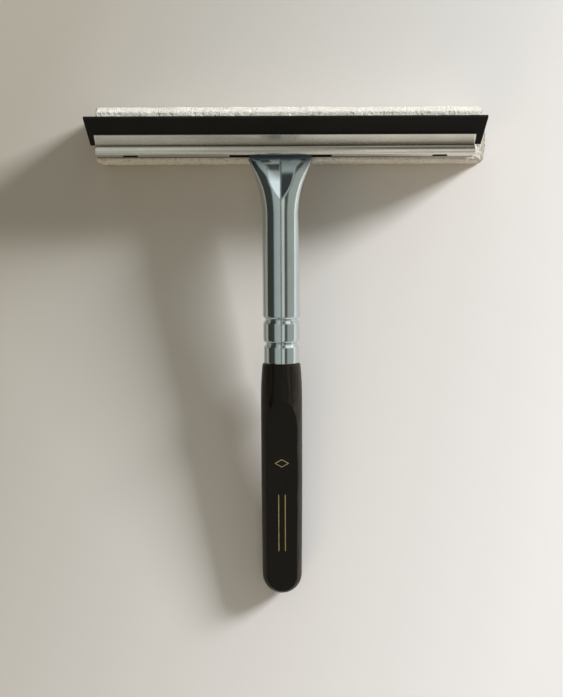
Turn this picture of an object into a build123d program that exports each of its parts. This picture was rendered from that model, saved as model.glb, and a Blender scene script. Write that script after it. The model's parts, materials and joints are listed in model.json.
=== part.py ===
from build123d import *
import math
import os

# Window squeegee: a folded steel head holds a rubber blade in front and a sponge behind it,
# and a stem rolled from sheet steel joins the head to a black grip.
# Each piece is modelled in the tool's own axes: X along the blade, Y from the grip towards the blade,
# Z out of the front. Y = 0 is the foot of the head's bead, Z = 0 the axis of the stem and X = 0 the middle of
# the piece. The last section moves the pieces that stand off the middle of the head by their shifts, and lays
# them down as the tool rests on a table, on its sponge and its grip.
# Sizes are in millimetres and degrees.
os.makedirs("parts", exist_ok=True)

# Rubber blade
blade_length = 210.0
blade_height = 18.1
blade_root_thickness = 2.5
blade_edge_thickness = 1.6
blade_lean = 45.0
blade_end_flare = 1.4
blade_grip_height = 8.0
root_rib_height = 1.8
root_rib_depth = 1.0
blade_clearance = 0.06
blade_shift = 0.3

# Folded head with its lip, rolled bead, underside and back
head_length = 201.0
head_sheet = 0.8
head_depth = 7.0
head_back_height = 22.0
underside_fall = 1.6
bend_radius = 0.8
bead_radius = 2.3
bead_sweep = 180.0
lip_height = 7.5
stem_slot_length = 54.5
stem_slot_width = 6.0
drain_slot_length = 8.5
drain_slot_width = 3.0
drain_slot_spacing = 165.0
drain_slot_setback = 4.2

# Seat strip behind the blade
seat_bend_radius = 0.5
seat_foot_margin = 0.6

# Channel for the sponge and the stiff backing strip that slides in it
channel_sheet = 0.6
channel_lip_height = 2.6
channel_bend_radius = 0.4
backing_thickness = 1.2
backing_clearance = 0.15
backing_edge_radius = 0.3

# Sponge
sponge_height = 29.0
sponge_drop = 2.6
sponge_thickness = 30.0
sponge_front_length = 208.4
sponge_rear_length = 214.0
sponge_shift = 2.0
sponge_edge_radius = 1.5
sponge_clearance = 0.3

# Rivets
rivet_diameter = 3.0
rivet_head_diameter = 5.0
rivet_head_height = 1.0
rivet_head_taper = 40.0
rivet_tail_height = 0.8
rivet_clearance = 0.05
seat_rivet_spacing = 76.0
seat_rivet_count = 3
stem_rivet_spacing = 18.0
stem_rivet_count = 2
stem_rivet_height = 4.2

# Stem rolled from sheet, pressed flat at the top and dented at the front where it spreads into a fan
stem_diameter = 20.4
stem_sheet = 1.0
stem_length = 111.9
stem_shift = -2.4
seam_gap = 0.2
flare_length = 32.0
flare_steps = 5
flare_power = 1.8
flatten_power = 2.7
fan_width = 34.6
fan_thickness = 2.6
fan_edge_thickness = 7.0
fan_end_drop = 2.0
dent_length = 24.0
dent_steps = 4
dent_power = 1.4
dent_slope = 0.5
dent_fade = 4.0
dent_margin = 3.0
dent_wall = 1.15
ridge_radius = 0.5
tab_width = 33.0
tab_height = 10.5
tab_corner_radius = 2.0
tab_root = 1.5
rolled_groove_depth = 1.2
rolled_groove_width = 3.6
lower_groove_rise = 10.6
groove_pitch = 13.1
first_ring_diameter = 20.0
last_ring_diameter = 19.3

# Grip with a grooved spigot inside the stem
grip_length = 130.2
grip_shoulder_diameter = 20.8
grip_diameter = 22.8
grip_swell_length = 20.0
grip_straight_length = 50.0
grip_end_diameter = 22.0
grip_shoulder_chamfer = 0.7
grip_flat_thickness = 15.0
grip_flat_start = 36.0
grip_runout_radius = 36.0
grip_runout_margin = 1.5
grip_edge_radius = 0.5
spigot_length = 36.0
spigot_clearance = 0.15
grip_seat_gap = 0.3

# Places worked out from those sizes
stem_radius = stem_diameter / 2
back_front_z = -fan_thickness / 2
back_rear_z = back_front_z - head_sheet
bead_z = back_rear_z + head_depth
channel_floor_z = back_rear_z - channel_sheet
backing_front_z = channel_floor_z - rivet_tail_height - backing_clearance
backing_rear_z = backing_front_z - backing_thickness
channel_rear_z = backing_rear_z - backing_clearance - channel_sheet
sponge_front_z = channel_rear_z - sponge_clearance
sponge_rear_z = sponge_front_z - sponge_thickness
fan_end_y = -fan_end_drop
grip_top_y = -stem_length - grip_seat_gap
grip_end_y = grip_top_y - grip_length
lower_groove_y = -stem_length + lower_groove_rise
upper_groove_y = lower_groove_y + groove_pitch

# The blade leans out of the head, so it has a plane of its own: x up the blade, y towards its back
lean = math.radians(blade_lean)
up_blade = Vector(0, math.cos(lean), math.sin(lean))
behind_blade = Vector(0, math.sin(lean), -math.cos(lean))
bead_end = math.radians(180 - bead_sweep)
lip_foot = Vector(
    0,
    bead_radius + bead_radius * math.cos(bead_end),
    bead_z + bead_radius * math.sin(bead_end),
)
blade_foot = lip_foot + behind_blade * (head_sheet + blade_clearance)
blade_section = Plane(blade_foot, x_dir=up_blade, z_dir=(-1, 0, 0))
blade_face = Plane(blade_foot, x_dir=(1, 0, 0), z_dir=-behind_blade)

# The seat strip follows the back of the blade, folds over the head and stands against its back
seat_fold = seat_bend_radius + head_sheet
seat_fold_length = seat_fold * math.tan(math.radians(90 + blade_lean) / 2)
seat_face = blade_foot + behind_blade * (blade_root_thickness + blade_clearance)
seat_leaf_end = seat_face + up_blade * (root_rib_height + blade_clearance)
seat_corner = seat_face + up_blade * (lip_height + seat_fold_length)
seat_foot_z = back_front_z + head_sheet
seat_foot_top = head_back_height - seat_foot_margin
seat_rivet_height = (seat_corner.Y + seat_fold + seat_foot_top) / 2


def rivet_holes(spacing, count, height, middle=0):
    """Punches a row of rivet holes, about a middle, through the sheets at the back of the head."""
    with BuildSketch(Plane.XY.offset(channel_floor_z)) as holes:
        with Locations((middle, height)):
            with GridLocations(spacing, 0, count, 1):
                Circle(rivet_diameter / 2 + rivet_clearance)
    extrude(holes.sketch, amount=channel_sheet + head_sheet + fan_thickness, mode=Mode.SUBTRACT)


def rivet_row(spacing, count, height, front_z):
    """Sets a row of rivets from front_z, under their tapered heads, to the floor of the channel."""
    for radius, start_z, reach, taper in (
        (rivet_diameter / 2, channel_floor_z, front_z - channel_floor_z, 0),
        (rivet_head_diameter / 2, channel_floor_z, -rivet_tail_height, 0),
        (rivet_head_diameter / 2, front_z, rivet_head_height, rivet_head_taper),
    ):
        with BuildSketch(Plane.XY.offset(start_z)) as discs:
            with Locations((0, height)):
                with GridLocations(spacing, 0, count, 1):
                    Circle(radius)
        extrude(discs.sketch, amount=reach, taper=taper)


def ease(share):
    """Runs from 0 to 1 with a level start and a level end."""
    return share * share * (3 - 2 * share)


def fan_section(share, inset):
    """The stem's outline, inset by a wall, at a share of the way from the round tube to the flat fan."""
    y = -flare_length + share * (flare_length + fan_end_y)
    half_width = stem_radius + (fan_width / 2 - stem_radius) * share**flare_power
    half_thickness = stem_radius + (fan_edge_thickness / 2 - stem_radius) * ease(share**flatten_power)
    with BuildSketch(Plane.XZ.offset(-y)) as outline:
        Ellipse(half_width - inset, half_thickness - inset)
    return outline.sketch


def dent_section(share, sink):
    """The dent's V-shaped outline, sunk by a wall, at a share of the way from its tip to the fan's end."""
    y = -dent_length + share * (dent_length + fan_end_y)
    floor = fan_thickness / 2 + (stem_radius - fan_thickness / 2) * (1 - share) ** dent_power - sink
    reach = fan_width / 2 + dent_margin
    rise = reach * dent_slope * (1 - share**dent_fade)
    top = stem_diameter + dent_margin
    with BuildSketch(Plane.XZ.offset(-y)) as outline:
        with BuildLine():
            Polyline(
                (0, floor),
                (reach, floor + rise),
                (reach, top),
                (-reach, top),
                (-reach, floor + rise),
                close=True,
            )
        make_face()
    return outline.sketch


def rolled_points(inset):
    """Points up the rolled end of the stem, moved in by an inset, from its lower end to the tube."""
    half_groove = rolled_groove_width / 2
    flank = math.atan2(rolled_groove_depth, half_groove)
    spread = half_groove + inset * math.tan(flank / 2)
    sink = rolled_groove_depth + inset / math.cos(flank)
    last_ring = last_ring_diameter / 2
    first_ring = first_ring_diameter / 2
    return [
        (last_ring - inset, -stem_length),
        (last_ring - inset, lower_groove_y - spread),
        (last_ring - sink, lower_groove_y),
        (first_ring - inset, lower_groove_y + spread),
        (first_ring - inset, upper_groove_y - spread),
        (first_ring - sink, upper_groove_y),
        (stem_radius - inset, upper_groove_y + spread),
    ]


def grip_flat_cut(side):
    """Cuts the flat on one side of the grip, with the curved run-out at its upper end."""
    flat_z = grip_flat_thickness / 2
    rise = grip_diameter / 2 - flat_z + grip_runout_margin
    runout = math.sqrt(2 * grip_runout_radius * rise - rise**2)
    start_y = grip_top_y - grip_flat_start
    half_run = grip_runout_radius * (1 - math.cos(math.asin(runout / 2 / grip_runout_radius)))
    with BuildSketch(Plane.YZ) as cut:
        with BuildLine():
            curve = ThreePointArc(
                (start_y, side * flat_z),
                (start_y + runout / 2, side * (flat_z + half_run)),
                (start_y + runout, side * (flat_z + rise)),
            )
            Polyline(
                curve @ 1,
                (grip_end_y, side * (flat_z + rise)),
                (grip_end_y, side * flat_z),
                curve @ 0,
            )
        make_face()
    extrude(cut.sketch, amount=grip_diameter, both=True, mode=Mode.SUBTRACT)
    fillet(edges(Select.LAST).filter_by(Axis.X, reverse=True), radius=grip_edge_radius)


# Head shell: back, underside, rolled bead and lip folded from one sheet
with BuildPart() as head_shell:
    with BuildSketch(Plane.YZ):
        with BuildLine():
            FilletPolyline(
                (head_back_height, back_rear_z),
                (-underside_fall, back_rear_z),
                (0, bead_z),
                radius=bend_radius + head_sheet,
            )
            bead = CenterArc((bead_radius, bead_z), bead_radius, 180, -bead_sweep)
            PolarLine(bead @ 1, lip_height, blade_lean)
            offset(amount=head_sheet, side=Side.RIGHT)
        make_face()
    extrude(amount=head_length / 2, both=True)
    with BuildSketch(Plane.XZ):
        with Locations((stem_shift, back_front_z + stem_slot_width / 2)):
            Rectangle(stem_slot_length, stem_slot_width)
        with Locations((0, back_front_z + drain_slot_setback)):
            with GridLocations(drain_slot_spacing, 0, 2, 1):
                SlotOverall(drain_slot_length, drain_slot_width)
    extrude(amount=underside_fall + head_sheet + bend_radius, both=True, mode=Mode.SUBTRACT)
    rivet_holes(seat_rivet_spacing, seat_rivet_count, seat_rivet_height)
    rivet_holes(stem_rivet_spacing, stem_rivet_count, stem_rivet_height, stem_shift)

# Blade seat: a strip that backs the rubber, folds over the hollow of the head and is riveted to its back
with BuildPart() as blade_seat:
    with BuildSketch(Plane.YZ):
        with BuildLine():
            FilletPolyline(
                (seat_leaf_end.Y, seat_leaf_end.Z),
                (seat_corner.Y, seat_corner.Z),
                (seat_corner.Y, seat_foot_z),
                (seat_foot_top, seat_foot_z),
                radius=seat_fold,
            )
            offset(amount=head_sheet, side=Side.RIGHT)
        make_face()
    extrude(amount=head_length / 2, both=True)
    rivet_holes(seat_rivet_spacing, seat_rivet_count, seat_rivet_height)

# Rubber blade: tapers to its wiping edge, with a root rib caught under the seat and flared ends
with BuildPart() as rubber_blade:
    with BuildSketch(blade_section):
        with BuildLine():
            Polyline(
                (0, 0),
                (blade_height, 0),
                (blade_height, blade_edge_thickness),
                (blade_grip_height, blade_root_thickness),
                (root_rib_height, blade_root_thickness),
                (root_rib_height, blade_root_thickness + root_rib_depth),
                (0, blade_root_thickness + root_rib_depth),
                close=True,
            )
        make_face()
    extrude(amount=blade_length / 2, both=True)
    with BuildSketch(blade_face):
        with BuildLine():
            Polyline(
                (-blade_length / 2 + blade_end_flare, 0),
                (blade_length / 2 - blade_end_flare, 0),
                (blade_length / 2, blade_height),
                (-blade_length / 2, blade_height),
                close=True,
            )
        make_face()
    extrude(
        amount=blade_root_thickness + root_rib_depth, both=True, mode=Mode.INTERSECT
    )

# Sponge channel: a C-shaped strip on the back of the head
with BuildPart() as sponge_channel:
    with BuildSketch(Plane.YZ):
        with BuildLine():
            FilletPolyline(
                (head_back_height - channel_lip_height, channel_rear_z),
                (head_back_height, channel_rear_z),
                (head_back_height, back_rear_z),
                (0, back_rear_z),
                (0, channel_rear_z),
                (channel_lip_height, channel_rear_z),
                radius=channel_bend_radius + channel_sheet,
            )
            offset(amount=channel_sheet, side=Side.LEFT)
        make_face()
    extrude(amount=head_length / 2, both=True)
    rivet_holes(seat_rivet_spacing, seat_rivet_count, seat_rivet_height)
    rivet_holes(stem_rivet_spacing, stem_rivet_count, stem_rivet_height, stem_shift)

# Sponge backing: the stiff strip that the sponge is bonded to, which slides in the channel
with BuildPart() as sponge_backing:
    with BuildSketch(Plane.XY.offset(backing_rear_z)):
        with Locations((0, head_back_height / 2)):
            Rectangle(head_length, head_back_height - 2 * (channel_sheet + backing_clearance))
    extrude(amount=backing_thickness)
    fillet(edges().filter_by(Axis.X), radius=backing_edge_radius)

# Sponge pad: its ends spread towards the back, and a neck reaches between the lips of the channel
with BuildPart() as sponge_pad:
    with BuildSketch(Plane.XZ.offset(sponge_drop)):
        with BuildLine():
            Polyline(
                (-sponge_front_length / 2, sponge_front_z),
                (sponge_front_length / 2, sponge_front_z),
                (sponge_rear_length / 2, sponge_rear_z),
                (-sponge_rear_length / 2, sponge_rear_z),
                close=True,
            )
        make_face()
    extrude(amount=-sponge_height)
    fillet(edges(), radius=sponge_edge_radius)
    with BuildSketch(Plane.XY.offset(backing_rear_z)):
        with Locations((0, head_back_height / 2)):
            Rectangle(head_length, head_back_height - 2 * (channel_lip_height + sponge_clearance))
    extrude(amount=sponge_front_z - backing_rear_z)

# Stem: rolled grooves at the lower end, a butt seam up the front, a dented fan and a flat tab
flare_shares = [step / flare_steps for step in range(flare_steps + 1)]
dent_shares = [step / dent_steps for step in range(dent_steps + 1)]
with BuildPart() as fan_hollow:
    loft([fan_section(share, stem_sheet) for share in flare_shares])
    loft([dent_section(share, dent_wall) for share in dent_shares], mode=Mode.SUBTRACT)

with BuildPart() as stem_tube:
    with BuildSketch(Plane.XY):
        with BuildLine():
            Polyline(
                *rolled_points(0),
                (stem_radius, -flare_length),
                (stem_radius - stem_sheet, -flare_length),
                *reversed(rolled_points(stem_sheet)),
                close=True,
            )
        make_face()
    revolve(axis=Axis.Y)
    loft([fan_section(share, 0) for share in flare_shares])
    loft([dent_section(share, 0) for share in dent_shares], mode=Mode.SUBTRACT)
    rims = edges(Select.LAST).filter_by(lambda edge: abs(edge.center().X) > stem_sheet)
    fillet(rims.filter_by(lambda edge: edge.center().Y < fan_end_y - tab_root), radius=ridge_radius)
    add(fan_hollow.part, mode=Mode.SUBTRACT)
    with BuildSketch(Plane.XY):
        with Locations((0, (fan_end_y - stem_length) / 2)):
            Rectangle(seam_gap, stem_length + fan_end_y)
    extrude(amount=stem_diameter, mode=Mode.SUBTRACT)
    with BuildSketch(Plane.XY.offset(back_front_z)):
        with Locations((0, (tab_height + fan_end_y - tab_root) / 2)):
            RectangleRounded(tab_width, tab_height - fan_end_y + tab_root, tab_corner_radius)
    extrude(amount=fan_thickness)
    rivet_holes(stem_rivet_spacing, stem_rivet_count, stem_rivet_height)

# Rivets through the seat, the head and the channel, and through the tab of the stem
with BuildPart() as seat_rivets:
    rivet_row(seat_rivet_spacing, seat_rivet_count, seat_rivet_height, seat_foot_z)

with BuildPart() as stem_rivets:
    rivet_row(stem_rivet_spacing, stem_rivet_count, stem_rivet_height, fan_thickness / 2)

# Grip: a turned body with a flat on each face, and a spigot that the stem's grooves lock on to
with BuildPart() as grip:
    spigot = rolled_points(stem_sheet + spigot_clearance)
    spigot_top_y = grip_top_y + spigot_length
    shoulder_y = grip_top_y - grip_swell_length
    taper_y = shoulder_y - grip_straight_length
    dome_y = grip_end_y + grip_end_diameter / 2
    with BuildSketch(Plane.XY) as grip_profile:
        with BuildLine():
            Polyline(
                (0, spigot_top_y),
                (stem_radius - stem_sheet - spigot_clearance, spigot_top_y),
                *reversed(spigot),
                (spigot[0][0], grip_top_y),
                (grip_shoulder_diameter / 2, grip_top_y),
            )
            TangentArc(
                (grip_diameter / 2, shoulder_y),
                (grip_shoulder_diameter / 2, grip_top_y),
                tangent=(0, 1),
            )
            Line((grip_diameter / 2, shoulder_y), (grip_diameter / 2, taper_y))
            Line((grip_diameter / 2, taper_y), (grip_end_diameter / 2, dome_y))
            CenterArc((0, dome_y), grip_end_diameter / 2, 270, 90)
            Line((0, grip_end_y), (0, spigot_top_y))
        make_face()
        shoulder = grip_profile.vertices().sort_by_distance((grip_shoulder_diameter / 2, grip_top_y))
        chamfer(shoulder[0], length=grip_shoulder_chamfer)
    revolve(axis=Axis.Y)
    grip_flat_cut(1)
    grip_flat_cut(-1)

# The tool lies on the lower rear edge of its sponge and on the end of the grip's rear flat
toe_z = -grip_flat_thickness / 2
toe_y = grip_end_y + grip_end_diameter / 2 - math.sqrt((grip_end_diameter / 2) ** 2 - toe_z**2)
heel_y = sponge_edge_radius - sponge_drop
heel_z = sponge_rear_z + sponge_edge_radius
span = math.hypot(heel_y - toe_y, heel_z - toe_z)
tilt = math.asin(sponge_edge_radius / span) - math.atan2(heel_z - toe_z, heel_y - toe_y)
laid = Rotation(math.degrees(tilt), 0, 0)
shifts = {
    "rubber_blade": blade_shift,
    "sponge_backing": sponge_shift,
    "sponge_pad": sponge_shift,
    "stem_rivets": stem_shift,
    "stem_tube": stem_shift,
    "grip": stem_shift,
}
pieces = {
    "head_shell": head_shell,
    "blade_seat": blade_seat,
    "rubber_blade": rubber_blade,
    "sponge_channel": sponge_channel,
    "sponge_backing": sponge_backing,
    "sponge_pad": sponge_pad,
    "seat_rivets": seat_rivets,
    "stem_rivets": stem_rivets,
    "stem_tube": stem_tube,
    "grip": grip,
}
placed = {name: laid * Pos(shifts.get(name, 0), 0, 0) * piece.part for name, piece in pieces.items()}
box = Compound(list(placed.values())).bounding_box()
rest = Pos(-box.center().X, -box.center().Y, -box.min.Z)

# Each piece is written at rest, with the origin on the table under the middle of the tool
for name, piece in placed.items():
    part = rest * piece
    part.label = name
    export_step(part, f"parts/{name}.step")
print(f"tilt {math.degrees(tilt):.2f} degrees, size {box.size}")
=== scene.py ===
"""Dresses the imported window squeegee: finishes for its solids, a porous sponge and the studio around it."""

import json
import logging
import math
from dataclasses import dataclass, field, replace
from enum import Enum

import bmesh
import bpy
from mathutils import Matrix, Vector, noise

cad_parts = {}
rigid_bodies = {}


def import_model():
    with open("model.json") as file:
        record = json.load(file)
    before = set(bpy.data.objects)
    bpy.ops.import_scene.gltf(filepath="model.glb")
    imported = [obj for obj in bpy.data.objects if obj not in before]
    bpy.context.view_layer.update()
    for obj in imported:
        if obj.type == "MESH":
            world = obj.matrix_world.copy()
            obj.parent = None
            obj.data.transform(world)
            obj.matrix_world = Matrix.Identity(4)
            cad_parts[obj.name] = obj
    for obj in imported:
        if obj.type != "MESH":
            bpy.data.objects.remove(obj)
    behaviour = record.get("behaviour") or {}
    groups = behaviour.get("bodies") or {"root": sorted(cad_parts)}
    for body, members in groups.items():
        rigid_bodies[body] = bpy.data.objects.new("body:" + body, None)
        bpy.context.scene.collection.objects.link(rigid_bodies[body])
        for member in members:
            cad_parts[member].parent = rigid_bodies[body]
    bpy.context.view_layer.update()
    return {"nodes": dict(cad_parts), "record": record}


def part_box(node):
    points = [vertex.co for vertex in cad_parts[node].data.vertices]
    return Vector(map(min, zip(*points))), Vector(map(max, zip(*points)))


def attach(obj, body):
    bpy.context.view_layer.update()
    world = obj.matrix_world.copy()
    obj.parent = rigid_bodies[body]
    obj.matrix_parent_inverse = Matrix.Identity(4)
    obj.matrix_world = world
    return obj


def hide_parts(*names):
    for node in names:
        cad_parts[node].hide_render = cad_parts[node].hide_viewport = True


MM = 0.001
LOG = logging.getLogger("squeegee")

Triple = tuple[float, float, float]
Colour = Triple
Pair = tuple[float, float]
Span = Pair
Piece = bpy.types.Object
Socket = bpy.types.NodeSocket
Source = Socket | float | Triple
Key = int | str
BLADE_AXIS: Triple = (1.0, 0.0, 0.0)


class Slot(Enum):
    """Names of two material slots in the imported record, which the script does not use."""

    SPONGE = "sponge_foam"
    GRIP = "grip_black"


class Body(Enum):
    """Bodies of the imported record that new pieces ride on."""

    TOOL = "tool"
    SPONGE = "sponge"


class Lay(Enum):
    """Direction that the fine lines of a surface run in, as how much finer they are along each axis."""

    ALONG_BLADE = (1.0, 40.0, 40.0)
    ALONG_STEM = (40.0, 1.0, 40.0)


@dataclass
class NodeBench:
    """Lays out shader nodes in one tree and joins their sockets.

    Attributes:
        tree: Node tree of a material, a world or a node group.
        column: Place of the next node, so that the tree reads from left to right.
        step: Distance from one node to the next.
    """

    MIX_FIRST = 6
    MIX_SECOND = 7
    MIX_RESULT = 2

    tree: bpy.types.NodeTree
    column: float = 0.0
    step: float = 180.0

    def add(self, kind: str, **settings: object) -> bpy.types.Node:
        """Adds a node.

        Args:
            kind: Blender's type name of the node.
            **settings: Attributes to set on the node.

        Returns:
            The new node.
        """
        node = self.tree.nodes.new(kind)
        node.location = (self.column, 0.0)
        self.column += self.step
        for name, value in settings.items():
            setattr(node, name, value)
        return node

    def feed(self, socket: Socket, source: Source) -> None:
        """Joins an output to a socket, or sets the socket to a plain value.

        Args:
            socket: Input socket to fill.
            source: Output socket, number, colour or vector.
        """
        if isinstance(source, Socket):
            self.tree.links.new(source, socket)
        elif socket.type == "RGBA":
            socket.default_value = (*source, 1.0)
        else:
            socket.default_value = source

    def make(self, kind: str, sources: dict[Key, Source], result: Key = 0, **settings: object) -> Socket:
        """Adds a node with its inputs filled.

        Args:
            kind: Blender's type name of the node.
            sources: What fills each input, by the input's name or number.
            result: Name or number of the output to take.
            **settings: Attributes to set on the node.

        Returns:
            The output socket.
        """
        node = self.add(kind, **settings)
        for key, source in sources.items():
            self.feed(node.inputs[key], source)
        return node.outputs[result]

    def math(self, operation: str, *numbers: Source) -> Socket:
        """Adds a Math node on one, two or three numbers."""
        return self.make("ShaderNodeMath", dict(enumerate(numbers)), operation=operation)

    def vector(self, operation: str, *vectors: Source) -> Socket:
        """Adds a Vector Math node that gives a vector."""
        return self.make("ShaderNodeVectorMath", dict(enumerate(vectors)), operation=operation)

    def dot(self, first: Source, second: Source) -> Socket:
        """Adds the dot product of two vectors."""
        sources = {0: first, 1: second}
        return self.make("ShaderNodeVectorMath", sources, "Value", operation="DOT_PRODUCT")

    def spread(self, value: Socket, span: tuple[Source, Source]) -> Socket:
        """Maps a span of values onto 0 to 1 and holds it there."""
        return self.make("ShaderNodeMapRange", dict(enumerate((value, *span))), clamp=True)

    def mix(self, share: Source, first: Source, second: Source) -> Socket:
        """Mixes a share of the second colour into the first."""
        sources = {"Factor": share, self.MIX_FIRST: first, self.MIX_SECOND: second}
        return self.make("ShaderNodeMix", sources, self.MIX_RESULT, data_type="RGBA")

    def tint(self, tone: Source, mask: Socket, strength: float, colour: Colour) -> Socket:
        """Mixes a colour into a tone where a mask lies, at a strength."""
        return self.mix(self.math("MULTIPLY", mask, strength), tone, colour)

    def noise(self, vector: Socket, scale: Source, detail: float, rough: float = 0.5) -> Socket:
        """Adds a noise texture: its waves per metre, its finer layers and the strength of each of them."""
        sources = {"Vector": vector, "Scale": scale, "Detail": detail, "Roughness": rough}
        return self.make("ShaderNodeTexNoise", sources, "Fac")

    def bump(self, normal: Socket, height: Socket, strength: float, depth: float) -> Socket:
        """Raises a height on a normal, where a height of 1 is so many metres deep."""
        sources = {"Normal": normal, "Height": height, "Strength": strength, "Distance": depth}
        return self.make("ShaderNodeBump", sources, "Normal")


@dataclass
class EffectGroup:
    """A shader node group with named sockets, built once and placed in several materials.

    Attributes:
        name: Name of the group.
        inputs: Default of each input by name: a number or a vector.
        outputs: Name of each output. Only a normal is a vector.
        tree: The group's node tree, once it is open.
    """

    name: str
    inputs: dict[str, float | Triple]
    outputs: tuple[str, ...]
    tree: bpy.types.NodeTree | None = None

    def open(self) -> tuple[NodeBench, dict[str, Socket], bpy.types.Node]:
        """Makes the empty group.

        Returns:
            A bench for its nodes, its input sockets by name, and its output node.
        """
        self.tree = bpy.data.node_groups.new(self.name, "ShaderNodeTree")
        for name, value in self.inputs.items():
            kind = "NodeSocketFloat" if isinstance(value, float) else "NodeSocketVector"
            socket = self.tree.interface.new_socket(name, in_out="INPUT", socket_type=kind)
            socket.default_value = value
        for name in self.outputs:
            kind = "NodeSocketVector" if name == "Normal" else "NodeSocketFloat"
            self.tree.interface.new_socket(name, in_out="OUTPUT", socket_type=kind)
        bench = NodeBench(self.tree)
        source = bench.add("NodeGroupInput")
        sink = self.tree.nodes.new("NodeGroupOutput")
        return bench, {name: source.outputs[name] for name in self.inputs}, sink

    def place(self, bench: NodeBench, **values: Source) -> bpy.types.bpy_prop_collection:
        """Puts the group in a material.

        Args:
            bench: Bench of the material.
            **values: Inputs by name, with underscores for spaces.

        Returns:
            The outputs that carry the effect, by name.
        """
        node = bench.add("ShaderNodeGroup", node_tree=self.tree)
        for name, value in values.items():
            bench.feed(node.inputs[name.replace("_", " ").title()], value)
        return node.outputs


class Effects:
    """The effects that several finishes share: lines, marks, grain, soft edges and painted shade in creases
    and hollows.

    A span here is the value at which a mask starts and the value at which it is full.
    """

    ORIGIN = (0.0, 0.0, 0.0)
    LINE_SPAN = (0.42, 0.62)
    PATCH_SPAN = (0.4, 0.7)
    SPECK_SPAN = (0.68, 0.78)
    TONE_SPAN = (0.3, 0.7)
    WEAR_SPAN = (0.97, 0.8)
    EDGE_SAMPLES = 6
    CREVICE_SAMPLES = 8

    def __init__(self) -> None:
        """Builds every group once."""
        self.lines = self._drawn_lines()
        self.handling = self._handling_marks()
        self.grain = self._moulded_grain()
        self.edges = self._soft_edges()
        self.crevice_shade = self._paint_crevice_shade()

    def _drawn_lines(self) -> EffectGroup:
        """Fine lines left by rolling, drawing or rubbing.

        Returns:
            The group, with a height and a mask of the lines.
        """
        sockets = {"Vector": self.ORIGIN, "Lay": (1.0, 1.0, 1.0), "Scale": 60.0}
        group = EffectGroup("drawn_lines", sockets, ("Height", "Mask"))
        bench, inputs, sink = group.open()
        stretched = bench.vector("MULTIPLY", inputs["Vector"], inputs["Lay"])
        fine = bench.noise(stretched, inputs["Scale"], detail=4.0, rough=0.65)
        bench.feed(sink.inputs["Height"], fine)
        bench.feed(sink.inputs["Mask"], bench.spread(fine, self.LINE_SPAN))
        return group

    def _handling_marks(self) -> EffectGroup:
        """Dull patches and small specks that hands and cloths leave.

        Returns:
            The group, with a mask of the dull patches and one of the specks.
        """
        sockets = {"Vector": self.ORIGIN, "Patch Scale": 45.0, "Speck Scale": 900.0}
        group = EffectGroup("handling_marks", sockets, ("Patches", "Specks"))
        bench, inputs, sink = group.open()
        patches = bench.noise(inputs["Vector"], inputs["Patch Scale"], detail=5.0, rough=0.6)
        specks = bench.noise(inputs["Vector"], inputs["Speck Scale"], detail=1.0)
        bench.feed(sink.inputs["Patches"], bench.spread(patches, self.PATCH_SPAN))
        bench.feed(sink.inputs["Specks"], bench.spread(specks, self.SPECK_SPAN))
        return group

    def _moulded_grain(self) -> EffectGroup:
        """The fine grain of a moulded skin.

        Returns:
            The group, with a height and a slow variation of tone.
        """
        sockets = {"Vector": self.ORIGIN, "Grain Scale": 1800.0, "Tone Scale": 60.0}
        group = EffectGroup("moulded_grain", sockets, ("Height", "Tone"))
        bench, inputs, sink = group.open()
        grain = bench.noise(inputs["Vector"], inputs["Grain Scale"], detail=2.0)
        tone = bench.noise(inputs["Vector"], inputs["Tone Scale"], detail=4.0)
        bench.feed(sink.inputs["Height"], grain)
        bench.feed(sink.inputs["Tone"], bench.spread(tone, self.TONE_SPAN))
        return group

    def _soft_edges(self) -> EffectGroup:
        """Rounds the shading of sharp edges and marks where they are worn.

        Returns:
            The group, with the rounded normal and a mask of the edges.
        """
        group = EffectGroup("soft_edges", {"Radius": 0.4 * MM}, ("Normal", "Wear"))
        bench, inputs, sink = group.open()
        rounded = bench.make("ShaderNodeBevel", inputs, samples=self.EDGE_SAMPLES)
        flat = bench.make("ShaderNodeNewGeometry", {}, "Normal")
        bench.feed(sink.inputs["Normal"], rounded)
        bench.feed(sink.inputs["Wear"], bench.spread(bench.dot(rounded, flat), self.WEAR_SPAN))
        return group

    def _paint_crevice_shade(self) -> EffectGroup:
        """Paints shade into the creases, slots and hollows that ambient occlusion finds closed in.

        Returns:
            The group, with a mask of the painted shade.
        """
        group = EffectGroup("crevice_shade", {"Reach": 6.0 * MM, "Clear": 0.75, "Dark": 0.25}, ("Mask",))
        bench, inputs, sink = group.open()
        reach = {"Distance": inputs["Reach"]}
        # Painted shade: the less open sky ambient occlusion finds, the fuller the mask that darkens a colour.
        sky = bench.make("ShaderNodeAmbientOcclusion", reach, "AO", samples=self.CREVICE_SAMPLES)
        bench.feed(sink.inputs["Mask"], bench.spread(sky, (inputs["Clear"], inputs["Dark"])))
        return group


@dataclass
class Coat:
    """A material in the making.

    Attributes:
        material: The material.
        effects: Shared node groups.
        bench: Bench for its nodes.
        shader: Its Principled BSDF.
        where: Coordinates in metres.
        facing: Normal in the same axes.
    """

    material: bpy.types.Material
    effects: Effects
    bench: NodeBench
    shader: bpy.types.Node
    where: Socket
    facing: Socket

    @classmethod
    def open(cls, name: str, effects: Effects) -> "Coat":
        """Makes a material with nothing but its shader.

        Args:
            name: Name of the material.
            effects: Shared node groups.

        Returns:
            The material in the making.
        """
        material = bpy.data.materials.new(name)
        material.use_nodes = True
        tree = material.node_tree
        tree.nodes.clear()
        bench = NodeBench(tree)
        place = bench.add("ShaderNodeTexCoord").outputs
        shader = tree.nodes.new("ShaderNodeBsdfPrincipled")
        output = tree.nodes.new("ShaderNodeOutputMaterial")
        tree.links.new(shader.outputs[0], output.inputs["Surface"])
        return cls(material, effects, bench, shader, place["Object"], place["Normal"])

    def set(self, **sources: Source) -> None:
        """Feeds the shader's sockets by name, with underscores for spaces."""
        for name, source in sources.items():
            self.bench.feed(self.shader.inputs[name.replace("_", " ")], source)


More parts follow.
